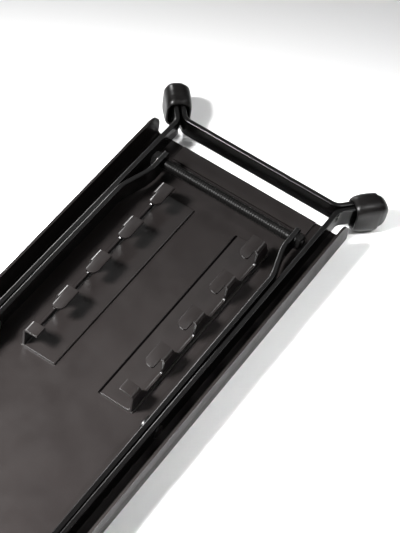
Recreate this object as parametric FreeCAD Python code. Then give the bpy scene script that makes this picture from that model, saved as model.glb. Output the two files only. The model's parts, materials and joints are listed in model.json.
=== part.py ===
import FreeCAD, Part
import math
import os

from FreeCAD import Placement, Rotation, Vector

os.makedirs("parts", exist_ok=True)

# Folding, height-adjustable footstool, folded flat and lying on its tread.
# Frame: +Z up from the surface it lies on, +X towards the outer leg's feet,
# +Y to the left seen from the -X end, origin under the scissor rivets.
# All lengths are in millimetres.

# ---------------------------------------------------------------- driving sizes
MAT_T = 4.0            # rubber tread mat
MAT_INSET = 3.5        # mat edge in from the edge of the steel tread
GROOVE_W = 2.0         # grooves in the mat's face
GROOVE_D = 1.0
GROOVE_PITCH = 6.0
GROOVES = 15
GROOVE_MARGIN = 9.0    # plain border at the ends of the grooves
MAT_CORNER = 8.0

TREAD_L = 291.0        # steel tread tray
TREAD_W = 107.0
TREAD_T = 1.2
FLANGE_H = 15.8
FLANGE_BEND = 2.6      # outer bend radius of the side flanges
FLANGE_CORNER = 9.0    # rounding of the flanges' free corners
HEM_HALF = 37.0        # folded hem at each end of the tray
HEM_W = 10.2
HEM_ROUND = 1.18       # outer radius of the hem's fold

RACK_T = 1.1           # hook racks
RACK_IN = 11.4         # inner edge of the rack's base, from the middle
RACK_OUT = 29.0        # outer face of the rack's wall
RACK_NEAR = 115.1      # end of the rack towards the outer feet
RACK_FAR = 6.0
RACK_TOP = 13.7        # top of the hooks over the tray's outer face
RACK_BEND = 2.0        # outer radius of the rack's bends
WALL_TOP = 4.5         # top of the low wall between the hooks
BEAD_W = 0.7           # bead along the outer foot of the wall
BEAD_H = 0.6
RACK_EDGE = 0.8        # rounding of the base's inner edge
HOOKS = 4
HOOK_PITCH = 25.0
HOOK_NEAR = 112.2      # square end of the first hook
POST_L = 7.4           # length of a hook's post under its bend
RAMP_L = 5.3           # slope from the post's square side down to the wall
NOSE_L = 6.1           # overhang of a hook's nose past its post
NOSE_R = 3.0
NOSE_OUT_R = 1.5
TAB_IN = 21.7          # free edge of the hooks, from the middle
NOTCH_R = 2.0          # rounding at the foot of each post

BAR_W = 10.0           # flat bar of both legs
BAR_T = 2.5
BAR_EDGE = 0.6
SLIP = 0.3             # air between faces that slide past each other
LEG_GAP = 0.6          # air between the two legs' side bars
RUNNING = 0.05         # radial clearance of each rivet in the leg that turns on it
OUTER_Y = 44.7         # centreline of the outer leg's side bars
ARM = 124.0            # scissor rivet to tread pivot, and to lock bar
FOOT_ARM = 151.8       # scissor rivet to the cross bar between the feet
JOG_START = 97.3
JOG_END = 113.8
JOG = 5.2              # sideways step of the bar near each leg's upper end
JOG_R = 25.0
OUTER_END = 5.5        # outer leg's bar past its pivot
INNER_END = 3.4        # inner leg's bar past the lock bar
CORNER_R = 6.0
HAIRPIN_GAP = 0.8
HAIRPIN_TIP = 16.3     # corner to the bar's turn inside the foot, along the foot's axis
RIVET_Z = 10.1         # scissor rivets over the tray's outer face
OUTER_TILT = 0.92      # degrees; the outer leg's feet lie lower than its pivot

FOOT_TURN = 40.0       # degrees from the side bar to the foot's axis, in the leg's plane
FOOT_START = 6.3       # mouth of a foot, from the corner along the foot's axis
FOOT_DROP = 1.0        # foot's axis under the bar's middle, at the corner
FOOT_PITCH = 3.0       # degrees that the foot's axis drops towards its end
FOOT_BODY = (          # distance from the mouth, half thickness, half height, rounding
    (0.0, 6.0, 7.7, 4.6),
    (4.4, 6.2, 9.3, 4.8),
    (12.1, 6.3, 9.1, 4.8),
)
DOME_L = 5.8           # domed end past the body
DOME_SHARE = 0.87      # size of the dome where it leaves the body
DOME_STEPS = (0.0, 0.35, 0.6, 0.8, 0.93, 0.99)
FOOT_MOUTH_D = 4.0
FOOT_MOUTH_A = 4.8
FOOT_MOUTH_H = 6.5
FOOT_MOUTH_R = 3.6
FOOT_SOCKET_D = 12.2
FOOT_EASE = 0.1        # room between the foot's socket and the hairpin's sides

RIVET_R = 2.5
PIVOT_HEAD = (4.0, 2.0)      # radius and height of a rivet's outer head
PIVOT_PEEN = (3.6, 1.6)      # and of its inner one
SCISSOR_HEAD = (3.3, 0.9)
SCISSOR_PEEN = (3.1, 0.9)
CROWN_R = 0.3                # flat crown of a head, as a share of its radius
SHOULDER_R = 0.76            # point that a head's dome passes through
SHOULDER_H = 0.82            # as shares of its radius and height
RIM_H = 0.35                 # straight rim of a head, as a share of its height
PIVOT_WASHER_R = 5.0
PIVOT_WASHER_T = 0.6
SCISSOR_WASHER_R = 4.5
SCISSOR_WASHER_T = 0.8
LOCK_R = 2.5
LOCK_LIFT = 0.2        # lock bar over the middle of the inner leg's bar
STUD_R = 2.0
STUD_OUT = 4.0
NUT_AF = 7.0
NUT_T = 2.6
NUT_WASHER_T = 0.6
NUT_WASHER_R = 4.2
NUT_ROUND_R = 1.02     # dome that rounds a nut's corners, over its corner radius
NUT_ROUND_H = 1.3      # and over its thickness
OVERCUT = 1.0          # how far a cut runs past the faces it cuts

# ---------------------------------------------------------------- worked out
STEEL_Z = MAT_T
SCISSOR_Z = STEEL_Z + RIVET_Z
INNER_Y = OUTER_Y - BAR_T - LEG_GAP
PIVOT_Y = OUTER_Y + JOG
LOCK_Y = INNER_Y - JOG
FLANGE_IN = TREAD_W / 2 - TREAD_T
X_AXIS = Vector(1, 0, 0)
Y_AXIS = Vector(0, 1, 0)
Z_AXIS = Vector(0, 0, 1)
OUTER_PLACE = Placement(Vector(0, 0, SCISSOR_Z), Rotation(Y_AXIS, OUTER_TILT))
INNER_PLACE = Placement(Vector(0, 0, SCISSOR_Z), Rotation())
TILT = math.radians(OUTER_TILT)
PIVOT_POINT = Vector(-ARM * math.cos(TILT), 0, SCISSOR_Z + ARM * math.sin(TILT))


# ---------------------------------------------------------------- helpers
def corner(before, vertex, after, radius):
    """Tangent points, middle and turn of the arc that rounds one corner."""
    into = (vertex - before).normalize()
    out = (after - vertex).normalize()
    turn = math.atan2(into.cross(out).z, into.dot(out))
    reach = radius * math.tan(abs(turn) / 2)
    start = vertex - into * reach
    end = vertex + out * reach
    side = Vector(-into.y, into.x, 0) * math.copysign(1.0, turn)
    centre = start + side * radius
    middle = centre + (vertex - centre).normalize() * radius
    return start, middle, end, centre, turn


def add_line(edges, a, b):
    if a.distanceToPoint(b) > 1e-6:
        edges.append(Part.LineSegment(a, b).toShape())


def rounded_face(points, radii):
    """Flat face in XY from a closed outline with rounded corners."""
    count = len(points)
    vectors = [Vector(x, y, 0) for x, y in points]
    edges = []
    last = None
    first = None
    for i in range(count):
        here = vectors[i]
        if radii[i] > 0:
            arc = corner(vectors[i - 1], here, vectors[(i + 1) % count], radii[i])
            start, end = arc[0], arc[2]
        else:
            arc = None
            start = end = here
        if last is None:
            first = start
        else:
            add_line(edges, last, start)
        if arc:
            edges.append(Part.Arc(start, arc[1], end).toShape())
        last = end
    add_line(edges, last, first)
    return Part.Face(Part.Wire(edges))


def offset_side(vectors, radii, offset):
    """Edges that run beside a bent centreline, offset to its left."""
    edges = []
    into = (vectors[1] - vectors[0]).normalize()
    last = vectors[0] + Vector(-into.y, into.x, 0) * offset
    for i in range(1, len(vectors) - 1):
        start, middle, end, centre, turn = corner(vectors[i - 1], vectors[i], vectors[i + 1], radii[i - 1])
        radius = (start - centre).Length
        scale = (radius - offset * math.copysign(1.0, turn)) / radius
        a = centre + (start - centre) * scale
        m = centre + (middle - centre) * scale
        b = centre + (end - centre) * scale
        add_line(edges, last, a)
        edges.append(Part.Arc(a, m, b).toShape())
        last = b
    out = (vectors[-1] - vectors[-2]).normalize()
    add_line(edges, last, vectors[-1] + Vector(-out.y, out.x, 0) * offset)
    return edges


def bent_bar(points, radii):
    """Flat bar on edge along a bent centreline, middle of its width at z = 0."""
    vectors = [Vector(x, y, 0) for x, y in points]
    left = offset_side(vectors, radii, BAR_T / 2)
    right = offset_side(vectors, radii, -BAR_T / 2)
    cap_a = Part.LineSegment(left[0].firstVertex().Point, right[0].firstVertex().Point).toShape()
    cap_b = Part.LineSegment(left[-1].lastVertex().Point, right[-1].lastVertex().Point).toShape()
    wire = Part.Wire(Part.__sortEdges__(left + [cap_b] + right + [cap_a]))
    bar = Part.Face(wire).extrude(Vector(0, 0, BAR_W))
    bar.translate(Vector(0, 0, -BAR_W / 2))
    rims = [edge for edge in bar.Edges if edge.BoundBox.ZLength < 1e-6]
    return bar.makeFillet(BAR_EDGE, rims)


def upright(face, y_low, y_high):
    """Outline drawn as (x, z), stood up and made y_high - y_low thick."""
    solid = face.extrude(Vector(0, 0, y_high - y_low))
    solid.rotate(Vector(0, 0, 0), X_AXIS, 90)
    solid.translate(Vector(0, y_high, 0))
    return solid


def lengthwise(face, x_low, x_high):
    """Outline drawn as (y, z), run along X from x_low to x_high."""
    solid = face.extrude(Vector(0, 0, x_high - x_low))
    solid.rotate(Vector(0, 0, 0), Vector(1, 1, 1), 120)
    solid.translate(Vector(x_low, 0, 0))
    return solid


def box(x0, x1, y0, y1, z0, z1):
    return Part.makeBox(x1 - x0, y1 - y0, z1 - z0, Vector(x0, y0, z0))


def across(radius, x, z, y0, y1):
    """Cylinder along Y from y0 to y1."""
    low = min(y0, y1)
    return Part.makeCylinder(radius, abs(y1 - y0), Vector(x, low, z), Y_AXIS)


def mirrored(shape):
    return shape.mirror(Vector(0, 0, 0), Y_AXIS)


def write(name, shape):
    if not shape.isValid():
        raise RuntimeError(name + " is not a valid solid")
    shape.exportStep("parts/" + name + ".step")


def write_pair(name, left):
    write(name + "_left", left)
    write(name + "_right", mirrored(left))


# ---------------------------------------------------------------- tread
def tread_plate():
    """Pressed tray: floor, two bent side flanges, a folded hem at each end."""
    half = TREAD_W / 2
    outer = [(-half, FLANGE_H), (-half, 0), (half, 0), (half, FLANGE_H)]
    inner = [(FLANGE_IN, FLANGE_H), (FLANGE_IN, TREAD_T), (-FLANGE_IN, TREAD_T), (-FLANGE_IN, FLANGE_H)]
    bend_in = FLANGE_BEND - TREAD_T
    profile = rounded_face(outer + inner, [0, FLANGE_BEND, FLANGE_BEND, 0, 0, bend_in, bend_in, 0])
    end = TREAD_L / 2
    tray = lengthwise(profile, -end, end)
    side_view = [(-end, 0), (end, 0), (end, FLANGE_H), (-end, FLANGE_H)]
    side = upright(rounded_face(side_view, [0, 0, FLANGE_CORNER, FLANGE_CORNER]), -half, half)
    tray = tray.common(side)
    hem_t = 2 * TREAD_T
    start = end - HEM_W
    hem_points = [(start, 0), (end, 0), (end, hem_t), (start, hem_t)]
    hem_outline = rounded_face(hem_points, [0, HEM_ROUND, HEM_ROUND, 0])
    hem = upright(hem_outline, -HEM_HALF, HEM_HALF)
    for turn in (0, 180):
        blank = box(end - TREAD_T, end + OVERCUT, -HEM_HALF, HEM_HALF, -OVERCUT, TREAD_T + OVERCUT)
        fold_piece = hem.copy()
        blank.rotate(Vector(0, 0, 0), Z_AXIS, turn)
        fold_piece.rotate(Vector(0, 0, 0), Z_AXIS, turn)
        tray = tray.cut(blank).fuse(fold_piece)
    tray = tray.removeSplitter()
    tray.translate(Vector(0, 0, STEEL_Z))
    reach = TREAD_W / 2 + OVERCUT
    return tray.cut(across(RIVET_R, PIVOT_POINT.x, PIVOT_POINT.z, -reach, reach))


def tread_mat():
    """Rubber mat on the tread's face, with lengthwise grooves."""
    x = TREAD_L / 2 - MAT_INSET
    y = TREAD_W / 2 - MAT_INSET
    mat = rounded_face([(-x, -y), (x, -y), (x, y), (-x, y)], [MAT_CORNER] * 4).extrude(Vector(0, 0, MAT_T))
    groove_x = x - GROOVE_MARGIN
    for i in range(GROOVES):
        middle = (i - (GROOVES - 1) / 2) * GROOVE_PITCH
        y0 = middle - GROOVE_W / 2
        mat = mat.cut(box(-groove_x, groove_x, y0, y0 + GROOVE_W, -OVERCUT, GROOVE_D))
    return mat


# ---------------------------------------------------------------- hook racks
def rack_base():
    """Base on the tray's floor, bent up into the low wall, with a bead along its foot."""
    z0 = TREAD_T
    z1 = TREAD_T + RACK_T
    inner = RACK_OUT - RACK_T
    outline = [(RACK_IN, z0), (RACK_OUT, z0), (RACK_OUT, WALL_TOP)]
    outline += [(inner, WALL_TOP), (inner, z1), (RACK_IN, z1)]
    face = rounded_face(outline, [0, RACK_BEND, 0, 0, RACK_BEND - RACK_T, RACK_EDGE])
    base = lengthwise(face, RACK_FAR, RACK_NEAR)
    low = RACK_OUT - RACK_BEND
    high = RACK_OUT + BEAD_W
    bead_points = [(low, z0), (high, z0), (high, z0 + BEAD_H), (low, z0 + BEAD_H)]
    bead = rounded_face(bead_points, [0, 0, BEAD_H / 2, 0])
    return base.fuse(lengthwise(bead, RACK_FAR, RACK_NEAR))


def post_wall(x_near, x_far, nose):
    """Upright part of a hook: a slope on its square side and a notch under its nose."""
    bend_z = RACK_TOP - RACK_BEND
    foot_z = TREAD_T + RACK_BEND
    slope_x = min(x_near + RAMP_L, RACK_NEAR)
    wall = [(x_far, foot_z), (slope_x, foot_z), (slope_x, WALL_TOP), (x_near, bend_z), (x_far, bend_z)]
    radii = [0, 0, 0, 0, 0]
    if nose:
        wing = x_far - 2 * NOTCH_R
        wall[0] = (wing, foot_z)
        wall += [(x_far, WALL_TOP), (wing, WALL_TOP)]
        radii += [NOTCH_R, 0]
    return upright(rounded_face(wall, radii), RACK_OUT - RACK_T, RACK_OUT)


def rack_post(x_near, x_far, nose):
    """One hook: a post on the wall, its top bent inwards, and its rounded nose."""
    bend_z = RACK_TOP - RACK_BEND
    under = RACK_TOP - RACK_T
    inner = RACK_OUT - RACK_T
    bend = [(inner, bend_z), (RACK_OUT, bend_z), (RACK_OUT, RACK_TOP)]
    bend += [(TAB_IN, RACK_TOP), (TAB_IN, under), (inner, under)]
    face = rounded_face(bend, [0, 0, RACK_BEND, 0, 0, RACK_BEND - RACK_T])
    hook = post_wall(x_near, x_far, nose).fuse(lengthwise(face, x_far, x_near))
    if nose:
        flat = RACK_OUT - RACK_BEND
        tip = x_far - NOSE_L
        outline = [(x_far, TAB_IN), (x_far, flat), (tip, flat), (tip, TAB_IN)]
        plate = rounded_face(outline, [0, 0, NOSE_OUT_R, NOSE_R]).extrude(Vector(0, 0, RACK_T))
        plate.translate(Vector(0, 0, under))
        hook = hook.fuse(plate)
    return hook


def hook_rack():
    rack = rack_base()
    for i in range(HOOKS):
        near = HOOK_NEAR - i * HOOK_PITCH
        rack = rack.fuse(rack_post(near, near - POST_L, True))
    rack = rack.fuse(rack_post(HOOK_NEAR - HOOKS * HOOK_PITCH, RACK_FAR, False))
    rack = rack.removeSplitter()
    rack.translate(Vector(0, 0, STEEL_Z))
    return rack


# ---------------------------------------------------------------- legs and feet
def leg_points(side_y, sign, end_x, end_y):
    """Half of a leg's centreline: upper end, step, side bar and the corner's hairpin."""
    offset = (BAR_T + HAIRPIN_GAP) / 2
    turn = math.radians(FOOT_TURN)
    along = Vector(math.cos(turn), math.sin(turn), 0)
    beside = Vector(-math.sin(turn), math.cos(turn), 0) * offset
    tip = Vector(FOOT_ARM, side_y, 0) + along * HAIRPIN_TIP
    tip_side = tip + beside
    tip_cross = tip - beside
    points = [
        (-end_x, end_y),
        (-JOG_END, end_y),
        (-JOG_START, side_y),
        (FOOT_ARM - offset / math.sin(turn), side_y),
        (tip_side.x, tip_side.y),
        (tip_cross.x, tip_cross.y),
        (FOOT_ARM, side_y - offset / math.cos(turn)),
    ]
    radii = [JOG_R, JOG_R, CORNER_R, offset, offset, CORNER_R]
    return [(sign * x, y) for x, y in points], radii


def leg(side_y, sign, end_x, end_y):
    points, radii = leg_points(side_y, sign, end_x, end_y)
    far_side = [(x, -y) for x, y in reversed(points)]
    return bent_bar(points + far_side, radii + list(reversed(radii)))


def outer_leg():
    bar = leg(OUTER_Y, 1, ARM + OUTER_END, PIVOT_Y)
    reach = PIVOT_Y + BAR_T
    for x, radius in ((-ARM, RIVET_R + RUNNING), (0, RIVET_R)):
        bar = bar.cut(across(radius, x, 0, -reach, reach))
    bar.Placement = OUTER_PLACE
    return bar


def inner_leg():
    bar = leg(INNER_Y, -1, ARM + INNER_END, LOCK_Y)
    reach = INNER_Y + BAR_T
    bar = bar.cut(across(RIVET_R + RUNNING, 0, 0, -reach, reach))
    bar = bar.cut(across(STUD_R, ARM, LOCK_LIFT, -reach, reach))
    bar.Placement = INNER_PLACE
    return bar


def oval(distance, half_t, half_h, rounding):
    """Rounded rectangle across the foot's axis, which runs along X here."""
    points = [(-half_t, -half_h), (half_t, -half_h), (half_t, half_h), (-half_t, half_h)]
    face = rounded_face(points, [rounding] * 4)
    face.rotate(Vector(0, 0, 0), Vector(1, 1, 1), 120)
    face.translate(Vector(distance, 0, 0))
    return face.OuterWire


def foot_shell():
    """Barrel and domed end of a foot along +X from its mouth, hollow at the mouth."""
    body = Part.makeLoft([oval(*section) for section in FOOT_BODY], True)
    start, half_t, half_h, rounding = FOOT_BODY[-1]
    rings = []
    for step in DOME_STEPS:
        scale = DOME_SHARE * math.sqrt(1 - step * step)
        rings.append(oval(start + DOME_L * step, half_t * scale, half_h * scale, rounding * scale))
    shell = body.fuse(Part.makeLoft(rings, True))
    mouth = Part.Face(oval(-OVERCUT, FOOT_MOUTH_A, FOOT_MOUTH_H, FOOT_MOUTH_R))
    return shell.cut(mouth.extrude(Vector(FOOT_MOUTH_D + OVERCUT, 0, 0)))


def foot(side_y, sign, place):
    """Rubber cap pushed on a corner's hairpin."""
    cap = foot_shell()
    cap.translate(Vector(FOOT_START, 0, -FOOT_DROP))
    cap.rotate(Vector(0, 0, -FOOT_DROP), Y_AXIS, FOOT_PITCH)
    half = BAR_T + HAIRPIN_GAP / 2 + FOOT_EASE
    cap = cap.cut(box(0, FOOT_START + FOOT_SOCKET_D, -half, half, -BAR_W / 2, BAR_W / 2))
    cap.rotate(Vector(0, 0, 0), Z_AXIS, FOOT_TURN)
    cap.translate(Vector(FOOT_ARM, side_y, 0))
    if sign < 0:
        cap = cap.mirror(Vector(0, 0, 0), X_AXIS)
    cap = cap.copy()
    cap.Placement = place.multiply(cap.Placement)
    return cap


# ---------------------------------------------------------------- rivets, bar, nuts
def dome(radius, base, height):
    """Half outline of a domed head in the XZ plane, from its rim to its flat crown."""
    rim = base + RIM_H * height
    crown = Vector(CROWN_R * radius, 0, base + height)
    edges = [Part.LineSegment(Vector(radius, 0, base), Vector(radius, 0, rim)).toShape()]
    middle = Vector(SHOULDER_R * radius, 0, base + SHOULDER_H * height)
    edges.append(Part.Arc(Vector(radius, 0, rim), middle, crown).toShape())
    edges.append(Part.LineSegment(crown, Vector(0, 0, base + height)).toShape())
    return edges


def turned(edges):
    """Solid turned about Z from a closed half outline, then laid along +Y."""
    solid = Part.Face(Part.Wire(Part.__sortEdges__(edges))).revolve(Vector(0, 0, 0), Z_AXIS, 360)
    solid.rotate(Vector(0, 0, 0), X_AXIS, -90)
    return solid


def half_line(radius_a, a, radius_b, b):
    return Part.LineSegment(Vector(radius_a, 0, a), Vector(radius_b, 0, b)).toShape()


def rivet(y_in, y_out, head, peen):
    """Rivet along Y between its two heads' undersides, on the left side."""
    head_r, head_h = head
    peen_r, peen_h = peen
    edges = dome(head_r, y_out, head_h) + dome(peen_r, y_in, -peen_h)
    edges.append(half_line(head_r, y_out, RIVET_R, y_out))
    edges.append(half_line(RIVET_R, y_out, RIVET_R, y_in))
    edges.append(half_line(RIVET_R, y_in, peen_r, y_in))
    edges.append(half_line(0, y_in - peen_h, 0, y_out + head_h))
    return turned(edges)


def ring(outer, inner, y0, y1):
    return across(outer, 0, 0, y0, y1).cut(across(inner, 0, 0, y0, y1))


def leg_pivot_rivet():
    part = rivet(PIVOT_Y - BAR_T / 2 - SLIP, TREAD_W / 2, PIVOT_HEAD, PIVOT_PEEN)
    part.translate(PIVOT_POINT)
    return part


def leg_pivot_washer():
    part = ring(PIVOT_WASHER_R, RIVET_R, FLANGE_IN - PIVOT_WASHER_T, FLANGE_IN)
    part.translate(PIVOT_POINT)
    return part


def scissor_rivet():
    inside = INNER_Y - BAR_T / 2 - SLIP - SCISSOR_WASHER_T
    part = rivet(inside, OUTER_Y + BAR_T / 2, SCISSOR_HEAD, SCISSOR_PEEN)
    part.translate(Vector(0, 0, SCISSOR_Z))
    return part


def scissor_washer():
    inside = INNER_Y - BAR_T / 2 - SLIP
    part = ring(SCISSOR_WASHER_R, RIVET_R, inside - SCISSOR_WASHER_T, inside)
    part.translate(Vector(0, 0, SCISSOR_Z))
    return part


def lock_point():
    return Vector(ARM, 0, SCISSOR_Z + LOCK_LIFT)


def lock_bar():
    """Bar between the inner leg's ends, with a stud through each."""
    half = LOCK_Y - BAR_T / 2
    tip = LOCK_Y + BAR_T / 2 + STUD_OUT
    part = across(LOCK_R, 0, 0, -half, half).fuse(across(STUD_R, 0, 0, -tip, tip))
    part = part.removeSplitter()
    part.translate(lock_point())
    return part


def lock_washer():
    outside = LOCK_Y + BAR_T / 2
    part = ring(NUT_WASHER_R, STUD_R, outside, outside + NUT_WASHER_T)
    part.translate(lock_point())
    return part


def lock_nut():
    outside = LOCK_Y + BAR_T / 2 + NUT_WASHER_T
    corner_r = NUT_AF / math.sqrt(3)
    turns = [math.radians(60 * i) for i in range(7)]
    corners = [Vector(corner_r * math.cos(turn), 0, corner_r * math.sin(turn)) for turn in turns]
    hexagon = Part.Face(Part.makePolygon(corners)).extrude(Vector(0, NUT_T, 0))
    round_r = corner_r * NUT_ROUND_R
    round_h = NUT_T * NUT_ROUND_H
    edges = dome(round_r, 0, round_h)
    edges.append(half_line(0, 0, round_r, 0))
    edges.append(half_line(0, 0, 0, round_h))
    part = hexagon.common(turned(edges))
    part.translate(Vector(0, outside, 0))
    part = part.cut(across(STUD_R, 0, 0, outside - OVERCUT, outside + NUT_T + OVERCUT))
    part.translate(lock_point())
    return part


# ---------------------------------------------------------------- assembly
write("tread_plate", tread_plate())
write("tread_mat", tread_mat())
write_pair("hook_rack", hook_rack())
write_pair("leg_pivot_rivet", leg_pivot_rivet())
write_pair("leg_pivot_washer", leg_pivot_washer())

write("outer_leg", outer_leg())
write_pair("outer_foot", foot(OUTER_Y, 1, OUTER_PLACE))
write_pair("scissor_rivet", scissor_rivet())
write_pair("scissor_washer", scissor_washer())

write("inner_leg", inner_leg())
write_pair("inner_foot", foot(INNER_Y, -1, INNER_PLACE))
write("lock_bar", lock_bar())
write_pair("lock_washer", lock_washer())
write_pair("lock_nut", lock_nut())

print("tread pivot at", PIVOT_POINT)
print("scissor rivet height", SCISSOR_Z)
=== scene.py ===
import json
import math

import bmesh
import bpy
from mathutils import Matrix, Vector


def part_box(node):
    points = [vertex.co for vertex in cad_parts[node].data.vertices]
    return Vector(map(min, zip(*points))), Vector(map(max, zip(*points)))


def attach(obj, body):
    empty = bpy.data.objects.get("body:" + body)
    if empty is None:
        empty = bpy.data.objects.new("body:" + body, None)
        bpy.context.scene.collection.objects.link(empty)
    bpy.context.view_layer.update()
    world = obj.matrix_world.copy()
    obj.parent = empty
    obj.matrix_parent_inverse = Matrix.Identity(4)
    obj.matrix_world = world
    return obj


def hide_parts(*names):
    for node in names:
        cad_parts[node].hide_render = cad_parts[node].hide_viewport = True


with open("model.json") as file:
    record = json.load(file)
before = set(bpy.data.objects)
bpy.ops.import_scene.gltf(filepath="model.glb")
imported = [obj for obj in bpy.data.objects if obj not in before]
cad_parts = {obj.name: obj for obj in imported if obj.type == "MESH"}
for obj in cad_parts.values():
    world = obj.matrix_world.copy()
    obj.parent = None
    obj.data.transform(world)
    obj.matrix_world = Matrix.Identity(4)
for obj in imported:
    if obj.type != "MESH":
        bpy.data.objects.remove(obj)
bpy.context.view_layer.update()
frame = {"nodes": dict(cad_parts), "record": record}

MM = 0.001

# ---------------------------------------------------------------- camera
VIEW_TURN = math.radians(25.80)      # heading of the view, from +X towards +Y
VIEW_DROP = math.radians(51.96)      # how far it looks down
VIEW_ROLL = math.radians(9.94)
VIEW_TARGET = Vector((0.0912, -0.0080, 0.0040))
VIEW_DISTANCE = 0.888
FOCAL = 175.7                        # mm, on a 36 mm wide sensor


def add_camera():
    ahead = Vector((math.cos(VIEW_DROP) * math.cos(VIEW_TURN),
                    math.cos(VIEW_DROP) * math.sin(VIEW_TURN),
                    -math.sin(VIEW_DROP)))
    level = ahead.cross(Vector((0, 0, 1))).normalized()
    upward = level.cross(ahead)
    right = math.cos(VIEW_ROLL) * level + math.sin(VIEW_ROLL) * upward
    up = math.cos(VIEW_ROLL) * upward - math.sin(VIEW_ROLL) * level
    data = bpy.data.cameras.new("camera")
    data.lens = FOCAL
    data.sensor_fit = "HORIZONTAL"
    data.sensor_width = 36.0
    data.clip_start = 0.01
    camera = bpy.data.objects.new("camera", data)
    turn = Matrix((right, up, -ahead)).transposed().to_4x4()
    camera.matrix_world = Matrix.Translation(VIEW_TARGET - ahead * VIEW_DISTANCE) @ turn
    bpy.context.scene.collection.objects.link(camera)
    bpy.context.scene.camera = camera


# ---------------------------------------------------------------- floor and light
# Names, headings and heights in degrees, distances, sizes across and up, watts,
# points aimed at, and spreads in degrees. Lengths are in metres.
MIDDLE = (0.05, 0.0, 0.01)
FAR_END = (-0.21, 0.0, 0.0)
BESIDE = (0.10, -0.27, 0.0)
OPEN = 180
LIGHTS = (
    ("key", 125, 58, 0.9, (0.22, 0.22), 8.8, FAR_END, 46),
    ("left", 57, 21, 1.5, (0.25, 0.35), 12.0, MIDDLE, OPEN),
    ("back_right", -36, 42, 1.5, (0.22, 0.22), 1.7, MIDDLE, OPEN),
    ("back", 26, 50, 1.5, (0.35, 0.35), 0.3, MIDDLE, OPEN),
    ("backdrop", -90, 70, 1.3, (0.3, 0.3), 0.8, BESIDE, 24),
)
WORLD_STRENGTH = 0.07
FLOOR_SIZE = 8.0


def area_light(name, heading, height, distance, size, power, aim, spread):
    """Soft box that lights a point from a heading and a height."""
    turn = math.radians(heading)
    rise = math.radians(height)
    level = math.cos(rise)
    way = Vector((level * math.cos(turn), level * math.sin(turn), math.sin(rise)))
    data = bpy.data.lights.new(name, "AREA")
    data.energy = power
    data.shape = "RECTANGLE"
    data.size, data.size_y = size
    data.spread = math.radians(spread)
    light = bpy.data.objects.new(name, data)
    light.location = Vector(aim) + way * distance
    light.rotation_euler = (-way).to_track_quat("-Z", "Y").to_euler()
    bpy.context.scene.collection.objects.link(light)


def add_floor():
    bpy.ops.mesh.primitive_plane_add(size=FLOOR_SIZE, location=(0, 0, 0))
    floor = bpy.context.object
    floor.name = "studio_floor"
    material = bpy.data.materials.new("studio_floor")
    material.use_nodes = True
    shader = material.node_tree.nodes["Principled BSDF"]
    shader.inputs["Base Color"].default_value = (0.86, 0.86, 0.86, 1)
    shader.inputs["Roughness"].default_value = 0.9
    shader.inputs["Specular IOR Level"].default_value = 0.2
    floor.data.materials.append(material)


def add_world(strength):
    world = bpy.data.worlds.new("studio")
    bpy.context.scene.world = world
    world.use_nodes = True
    background = world.node_tree.nodes["Background"]
    background.inputs["Color"].default_value = (1, 1, 1, 1)
    background.inputs["Strength"].default_value = strength


add_camera()
add_floor()
add_world(WORLD_STRENGTH)
bpy.context.scene.view_settings.view_transform = "Standard"
for light in LIGHTS:
    area_light(*light)


# ---------------------------------------------------------------- materials
class Nodes:
    """One procedural material; coordinates are the object's own, in metres."""

    def __init__(self, name):
        self.material = bpy.data.materials.new(name)
        self.material.use_nodes = True
        self.tree = self.material.node_tree
        self.shader = self.tree.nodes["Principled BSDF"]
        self.place = self.tree.nodes.new("ShaderNodeTexCoord").outputs["Object"]

    def noise(self, scale, detail=2.0, roughness=0.5):
        node = self.tree.nodes.new("ShaderNodeTexNoise")
        node.inputs["Scale"].default_value = scale
        node.inputs["Detail"].default_value = detail
        node.inputs["Roughness"].default_value = roughness
        self.tree.links.new(self.place, node.inputs["Vector"])
        return node.outputs["Fac"]

    def ramp(self, source, low, high, start=0.3, end=0.7):
        node = self.tree.nodes.new("ShaderNodeMapRange")
        node.inputs["From Min"].default_value = start
        node.inputs["From Max"].default_value = end
        node.inputs["To Min"].default_value = low
        node.inputs["To Max"].default_value = high
        self.tree.links.new(source, node.inputs["Value"])
        return node.outputs["Result"]

    def mix(self, factor, first, second):
        """Blend of two colours; the first may be another node's output."""
        node = self.tree.nodes.new("ShaderNodeMix")
        node.data_type = "RGBA"
        if isinstance(first, tuple):
            node.inputs["A"].default_value = (*first, 1)
        else:
            self.tree.links.new(first, node.inputs["A"])
        node.inputs["B"].default_value = (*second, 1)
        self.tree.links.new(factor, node.inputs["Factor"])
        return node.outputs["Result"]

    def bump(self, source, strength, distance, after=None):
        node = self.tree.nodes.new("ShaderNodeBump")
        node.inputs["Strength"].default_value = strength
        node.inputs["Distance"].default_value = distance
        self.tree.links.new(source, node.inputs["Height"])
        if after:
            self.tree.links.new(after, node.inputs["Normal"])
        return node.outputs["Normal"]

    def band_y(self, rise, fall):
        """1 between two Y positions and 0 outside them, each eased over a (start, end) pair."""
        split = self.tree.nodes.new("ShaderNodeSeparateXYZ")
        self.tree.links.new(self.place, split.inputs["Vector"])
        add = self.tree.nodes.new("ShaderNodeMath")
        add.operation = "ADD"
        self.tree.links.new(self.ramp(split.outputs["Y"], 0.0, 1.0, *rise), add.inputs[0])
        self.tree.links.new(self.ramp(split.outputs["Y"], 0.0, -1.0, *fall), add.inputs[1])
        return add.outputs["Value"]

    def set(self, socket, source):
        if isinstance(source, (int, float)):
            self.shader.inputs[socket].default_value = source
        else:
            self.tree.links.new(source, self.shader.inputs[socket])


# Noise scales, per metre, and depths in metres
DRIFT = 55.0
GLOSS_PATCHES = 140.0
ORANGE_PEEL = 1500.0
PEEL_DEPTH = 0.00008
WAVES = 260.0
WAVE_DEPTH = 0.00015
BLOOM = 90.0
RUBBER_PATCHES = 240.0
MOULD_GRAIN = 1900.0
GRAIN_DEPTH = 0.0001

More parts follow.
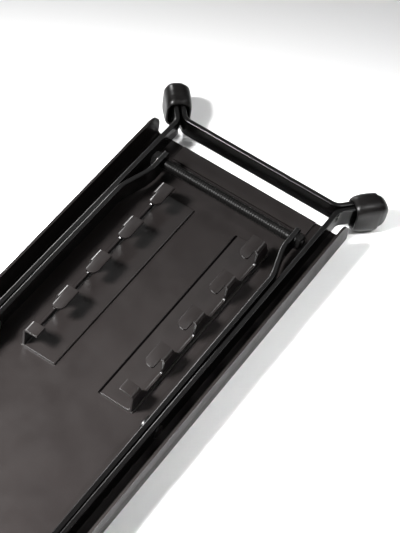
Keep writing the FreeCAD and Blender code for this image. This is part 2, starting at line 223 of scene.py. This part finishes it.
RACK_COLOURS = ((0.0066, 0.0053, 0.0051), (0.0082, 0.0067, 0.0064))
# Painted shade: a near-black band on the right rack's inner edge stands in for the shadow line there;
# these give its colour and where it fades in and out.
PAINTED_SHADE_COLOUR = (0.0004, 0.0003, 0.0003)
PAINTED_SHADE_OUTSIDE = (-12.90 * MM, -12.65 * MM)      # the painted shade fades in and out over these
PAINTED_SHADE_INSIDE = (-11.28 * MM, -11.20 * MM)


def paint(name, dark, light, rough, grain, specular):
    """Sprayed or powder-coated steel: fine orange peel, patchy gloss, small colour drift."""
    m = Nodes(name)
    m.set("Base Color", m.mix(m.ramp(m.noise(DRIFT, 4.0), 0, 1), dark, light))
    m.set("Roughness", m.ramp(m.noise(GLOSS_PATCHES, 3.0), *rough))
    peel = m.bump(m.noise(ORANGE_PEEL, 2.0), grain, PEEL_DEPTH)
    m.set("Normal", m.bump(m.noise(WAVES, 1.0), grain * 0.5, WAVE_DEPTH, peel))
    m.set("Specular IOR Level", specular)
    return m.material


def rack_coat():
    """Rack paint, with a painted shade line along the right rack's inner edge: a near-black band with
    almost no reflection, standing in for the shadow line there.
    """
    m = Nodes("rack_paint")
    painted_shade = m.band_y(PAINTED_SHADE_OUTSIDE, PAINTED_SHADE_INSIDE)
    body = m.mix(m.ramp(m.noise(DRIFT, 4.0), 0, 1), *RACK_COLOURS)
    m.set("Base Color", m.mix(painted_shade, body, PAINTED_SHADE_COLOUR))
    m.set("Roughness", m.ramp(m.noise(GLOSS_PATCHES, 3.0), 0.28, 0.36))
    m.set("Normal", m.bump(m.noise(ORANGE_PEEL, 2.0), 0.15, PEEL_DEPTH))
    # Painted shade: the reflection is also nearly turned off inside the band.
    m.set("Specular IOR Level", m.ramp(painted_shade, 0.50, 0.01, 0.0, 1.0))
    return m.material


def rubber(name, dark, light, rough, grain):
    """Moulded rubber: fine mould texture, patchy gloss, small colour drift."""
    m = Nodes(name)
    m.set("Base Color", m.mix(m.ramp(m.noise(BLOOM, 5.0, 0.6), 0, 1), dark, light))
    m.set("Roughness", m.ramp(m.noise(RUBBER_PATCHES, 3.0), *rough))
    m.set("Normal", m.bump(m.noise(MOULD_GRAIN, 3.0), grain, GRAIN_DEPTH))
    m.set("Specular IOR Level", 0.2)
    return m.material


SLOT_MATERIAL = {
    "tread_paint": paint("tread_paint", (0.0072, 0.0059, 0.0057), (0.0092, 0.0077, 0.0074),
                         (0.38, 0.46), 0.30, 0.20),
    "rack_paint": rack_coat(),
    "bar_paint": paint("bar_paint", (0.0009, 0.0008, 0.0008), (0.0014, 0.0013, 0.0013),
                       (0.20, 0.25), 0.02, 0.36),
    "fixing_black": paint("fixing_black", (0.0020, 0.0019, 0.0018), (0.0033, 0.0031, 0.0030),
                          (0.25, 0.36), 0.10, 0.30),
    "lock_bar_black": paint("lock_bar_black", (0.0020, 0.0019, 0.0018), (0.0032, 0.0030, 0.0029),
                            (0.36, 0.44), 0.05, 0.12),
    "foot_rubber": rubber("foot_rubber", (0.0036, 0.0032, 0.0031), (0.0056, 0.0051, 0.0050),
                          (0.30, 0.40), 0.20),
    "mat_rubber": rubber("mat_rubber", (0.0070, 0.0069, 0.0068), (0.0120, 0.0118, 0.0115),
                         (0.60, 0.75), 0.50),
}
RECORD = frame["record"]
SLOTS = {part["node"]: part["material_slot"] for part in RECORD["subparts"]}
BODY_OF = {node: body for body, nodes in RECORD["behaviour"]["bodies"].items() for node in nodes}


# ---------------------------------------------------------------- mesh helpers
def finish_piece(name, mesh, node):
    """Turns a bmesh into a piece that stands for a CAD node and moves as it does."""
    data = bpy.data.meshes.new(name)
    mesh.to_mesh(data)
    mesh.free()
    data.materials.append(SLOT_MATERIAL[SLOTS[node]])
    piece = bpy.data.objects.new(name, data)
    bpy.context.scene.collection.objects.link(piece)
    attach(piece, BODY_OF[node])
    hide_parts(node)
    return piece


WELD = 0.002 * MM          # corners nearer than this are one
FLAT_ANGLE = 0.5           # degrees; faces that meet at less are one flat face
SHEARED_ANGLE = 30.0       # degrees; edges sharper than this are rounded over
SHEET_SMOOTH = 24          # degrees; sheet metal shades as one surface under this


def smooth_by_angle(piece, degrees):
    for face in piece.data.polygons:
        face.use_smooth = True
    piece.data.set_sharp_from_angle(angle=math.radians(degrees))


def eased(node, name, width):
    """The CAD piece again, with its sheared edges rounded over as paint leaves them."""
    mesh = bmesh.new()
    mesh.from_mesh(frame["nodes"][node].data)
    bmesh.ops.remove_doubles(mesh, verts=mesh.verts, dist=WELD)
    bmesh.ops.dissolve_limit(mesh, angle_limit=math.radians(FLAT_ANGLE),
                             verts=mesh.verts, edges=mesh.edges)
    sharp = math.radians(SHEARED_ANGLE)
    corners = [edge for edge in mesh.edges
               if len(edge.link_faces) == 2 and edge.calc_face_angle() > sharp]
    bmesh.ops.bevel(mesh, geom=corners, offset=width, offset_type="OFFSET", segments=2,
                    profile=0.5, affect="EDGES", clamp_overlap=True)
    bmesh.ops.recalc_face_normals(mesh, faces=mesh.faces)
    piece = finish_piece(name, mesh, node)
    smooth_by_angle(piece, SHEET_SMOOTH)
    return piece


def rounded_ring(half_t, half_h, rounding, per_corner):
    """Points round a rounded rectangle, the same number for any size."""
    points = []
    for quarter in range(4):
        sign_t = 1 if quarter in (0, 3) else -1
        sign_h = 1 if quarter in (0, 1) else -1
        for step in range(per_corner):
            angle = math.pi / 2 * (quarter + step / (per_corner - 1))
            t = sign_t * (half_t - rounding) + rounding * math.cos(angle)
            h = sign_h * (half_h - rounding) + rounding * math.sin(angle)
            points.append((t, h))
    return points


def loft(mesh, rings):
    """Skins a list of rings of points with quads and closes both ends."""
    rows = [[mesh.verts.new(point) for point in ring] for ring in rings]
    count = len(rows[0])
    for low, high in zip(rows, rows[1:]):
        for i in range(count):
            j = (i + 1) % count
            mesh.faces.new((low[i], low[j], high[j], high[i]))
    mesh.faces.new(list(reversed(rows[0])))
    mesh.faces.new(rows[-1])


# ---------------------------------------------------------------- rubber feet
FOOT_CORNER_X = 151.8 * MM           # a leg's corner, from the scissor rivets
FOOT_CORNER_Y = {"outer": 44.7 * MM, "inner": 41.6 * MM}
SCISSOR_Z = 14.1 * MM
OUTER_TILT = math.radians(0.92)
FOOT_TURN = math.radians(40.0)       # from the side bar to the foot's axis
FOOT_PITCH = math.radians(3.0)
FOOT_DROP = 1.0 * MM                 # foot's axis under the bar's middle
FOOT_START = 6.3 * MM                # mouth of the foot, from the corner

# Sizes of a foot in its own millimetres, X from its mouth to its domed end
FOOT_STATIONS = (      # distance from the mouth, half thickness, half height, rounding
    (0.0, 6.0, 7.7, 4.6),
    (2.0, 6.12, 8.7, 4.7),
    (4.4, 6.2, 9.3, 4.8),
    (8.2, 6.35, 9.4, 4.9),
    (12.1, 6.3, 9.1, 4.8),
)
DOME_L = 5.8           # domed end past the barrel
DOME_SHARE = 0.87      # size of the dome where it leaves the barrel
WALL = 1.15            # thickness of the rubber at the mouth
MOUTH_STEPS = (9.0, 4.0, 1.0)          # depths of the rings inside the mouth
MOUTH_EASE = 0.1                       # how much closer the inside gets past the rim
RIM = (                # depth of a ring, share of the wall taken off the barrel's size
    (0.35, 1.0),
    (0.02, 0.75),
    (0.02, 0.35),
)
RIM_END = 0.30         # where the rim meets the barrel
RIM_ROUND = 0.05
BARREL_START = 0.5
BARREL_STEPS = 16
BARREL_SHORT = 1.1     # the last barrel ring stops this far before the crease
CREASE = (             # place past the barrel's end, amount taken off all round
    (-0.45, 0.0),
    (-0.10, 0.12),
    (0.05, 0.45),
)
CREASE_FLOOR = 0.1     # how far the bottom of the crease stands out past the dome
DOME_START = 0.15
DOME_RINGS = 12
RING_CORNER = 9        # points round each corner of a ring
FOOT_SMOOTH = 32       # degrees


def station(distance):
    """Size of the foot's barrel at a distance from its mouth, in between the stations."""
    for low, high in zip(FOOT_STATIONS, FOOT_STATIONS[1:]):
        if distance <= high[0]:
            share = (distance - low[0]) / (high[0] - low[0])
            return [low[k] + (high[k] - low[k]) * share for k in (1, 2, 3)]
    return list(FOOT_STATIONS[-1][1:])


def foot_ring(distance, half_t, half_h, rounding):
    return [Vector((distance, t, h)) * MM for t, h in rounded_ring(half_t, half_h, rounding, RING_CORNER)]


def foot_rings():
    """Inside of the mouth, rim, barrel, crease and domed end, from the mouth on."""
    rings = []

    def less(distance, size, off, off_rounding):
        half_t, half_h, rounding = size
        rings.append(foot_ring(distance, half_t - off, half_h - off, rounding - off_rounding))

    mouth = station(0.0)
    for depth in MOUTH_STEPS:
        less(depth, mouth, WALL + MOUTH_EASE, WALL)
    for depth, share in RIM:
        less(depth, mouth, share * WALL, share * WALL)
    less(RIM_END, mouth, RIM_ROUND, 0.0)
    last = FOOT_STATIONS[-1][0]
    for i in range(1, BARREL_STEPS):
        distance = BARREL_START + (last - BARREL_SHORT) * i / BARREL_STEPS
        less(distance, station(distance), 0.0, 0.0)
    end = station(last)
    for past, off in CREASE:
        less(last + past, end, off, off)
    half_t, half_h, rounding = [DOME_SHARE * size for size in end]
    rings.append(foot_ring(last + CREASE[-1][0], half_t + CREASE_FLOOR, half_h + CREASE_FLOOR, rounding))
    for i in range(DOME_RINGS):
        angle = math.pi / 2 * i / DOME_RINGS
        scale = math.cos(angle)
        distance = last + DOME_START + (DOME_L - DOME_START) * math.sin(angle)
        rings.append(foot_ring(distance, half_t * scale, half_h * scale, rounding * scale))
    return rings


def add_foot(leg, side):
    sign_x = 1 if leg == "outer" else -1
    sign_y = 1 if side == "left" else -1
    mesh = bmesh.new()
    loft(mesh, foot_rings())
    bmesh.ops.translate(mesh, verts=mesh.verts, vec=(FOOT_START, 0, -FOOT_DROP))
    lift = Matrix.Translation((0, 0, FOOT_DROP))
    pitched = lift.inverted() @ Matrix.Rotation(FOOT_PITCH, 4, "Y") @ lift
    corner = Matrix.Translation((FOOT_CORNER_X, FOOT_CORNER_Y[leg], 0))
    place = corner @ Matrix.Rotation(FOOT_TURN, 4, "Z") @ pitched
    place = Matrix.Diagonal((sign_x, sign_y, 1, 1)) @ place
    if leg == "outer":
        place = Matrix.Rotation(OUTER_TILT, 4, "Y") @ place
    place = Matrix.Translation((0, 0, SCISSOR_Z)) @ place
    bmesh.ops.transform(mesh, verts=mesh.verts, matrix=place)
    bmesh.ops.recalc_face_normals(mesh, faces=mesh.faces)
    piece = finish_piece(leg + "_foot_cap_" + side, mesh, leg + "_foot_" + side)
    smooth_by_angle(piece, FOOT_SMOOTH)


for leg in ("outer", "inner"):
    for side in ("left", "right"):
        add_foot(leg, side)


# ---------------------------------------------------------------- sheet-metal pieces
TAB_UNDER = 16.25 * MM      # just below the hooks' bent tops
TAB_FREE = 21.7 * MM        # free edge of a hook, from the middle
TAB_FLAT = 27.0 * MM        # where its bend starts
TAB_FALL = 0.42 * MM        # how far the top falls towards the bend
TAB_CUTS = (0.2, 0.4, 0.6, 0.8)      # where the flat top is cut to bend, as shares of its width
CUT_SNAP = 0.001 * MM
TRAY_EASE = 0.30 * MM       # rounding of each piece's sheared edges
RACK_EASE = 0.28 * MM
MAT_EASE = 0.35 * MM


def crown_tabs(piece):
    """Rounds the hooks' tops gently down towards their bends."""
    mesh = bmesh.new()
    mesh.from_mesh(piece.data)
    mesh.verts.ensure_lookup_table()
    side = 1 if mesh.verts[0].co.y > 0 else -1
    for share in TAB_CUTS:
        faces = [face for face in mesh.faces if min(vert.co.z for vert in face.verts) > TAB_UNDER]
        edges = list(dict.fromkeys(edge for face in faces for edge in face.edges))
        verts = list(dict.fromkeys(vert for face in faces for vert in face.verts))
        at = side * (TAB_FREE + share * (TAB_FLAT - TAB_FREE))
        bmesh.ops.bisect_plane(mesh, geom=faces + edges + verts, dist=CUT_SNAP,
                               plane_co=(0, at, 0), plane_no=(0, 1, 0))
    for vert in mesh.verts:
        if vert.co.z > TAB_UNDER:
            share = (abs(vert.co.y) - TAB_FREE) / (TAB_FLAT - TAB_FREE)
            vert.co.z -= TAB_FALL * min(max(share, 0.0), 1.0) ** 2
    mesh.to_mesh(piece.data)
    mesh.free()
    smooth_by_angle(piece, SHEET_SMOOTH)


eased("tread_plate", "tread_tray", TRAY_EASE)
crown_tabs(eased("hook_rack_left", "hook_rail_left", RACK_EASE))
crown_tabs(eased("hook_rack_right", "hook_rail_right", RACK_EASE))
eased("tread_mat", "tread_mat_ribbed", MAT_EASE)


# ---------------------------------------------------------------- lock bar
THREAD_PITCH = 1.2 * MM
THREAD_DEPTH = 0.14 * MM
THREAD_ROUND = 32           # points round the bar
THREAD_STEPS = 8            # rings in each turn of the thread
THREAD_RUN_IN = 0.2 * MM
STUD_R = 2.0 * MM
STUD_EASE = 0.4 * MM
BAR_EASE = 0.3 * MM
PLAIN_END = 1.6 * MM        # bar without a thread at each end
LEG_T = 2.5 * MM            # inner leg's bar, between the lock bar and its washers
BAR_SMOOTH = 50             # degrees


def add_lock_bar():
    """Threaded bar between the inner leg's ends, with the studs that its nuts turn on."""
    low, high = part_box("lock_bar")
    centre = (Vector(low) + Vector(high)) / 2
    radius = (high[2] - low[2]) / 2
    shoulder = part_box("lock_washer_left")[0][1] - LEG_T
    tip = high[1]
    end = (
        (tip, STUD_R - STUD_EASE),
        (tip - STUD_EASE, STUD_R),
        (shoulder, STUD_R),
        (shoulder, radius - BAR_EASE),
        (shoulder - BAR_EASE, radius),
        (shoulder - PLAIN_END, radius),
    )
    rows = []

    def ring(y, size, phase=None):
        row = []
        for i in range(THREAD_ROUND):
            turn = 2 * math.pi * i / THREAD_ROUND
            r = size
            if phase is not None:
                wave = (phase + i / THREAD_ROUND) % 1.0
                r = size - THREAD_DEPTH * abs(2 * wave - 1)
            row.append(Vector((centre.x + r * math.cos(turn), y, centre.z + r * math.sin(turn))))
        rows.append(row)

    for y, size in end:
        ring(-y, size)
    start = shoulder - PLAIN_END - THREAD_RUN_IN
    step = THREAD_PITCH / THREAD_STEPS
    for k in range(int(2 * start / step) + 1):
        ring(-start + k * step, radius, k / THREAD_STEPS)
    for y, size in reversed(end):
        ring(y, size)
    mesh = bmesh.new()
    loft(mesh, rows)
    bmesh.ops.recalc_face_normals(mesh, faces=mesh.faces)
    piece = finish_piece("threaded_lock_bar", mesh, "lock_bar")
    smooth_by_angle(piece, BAR_SMOOTH)


add_lock_bar()

for node, slot in SLOTS.items():
    holder = frame["nodes"][node]
    holder.data.materials.clear()
    holder.data.materials.append(SLOT_MATERIAL[slot])
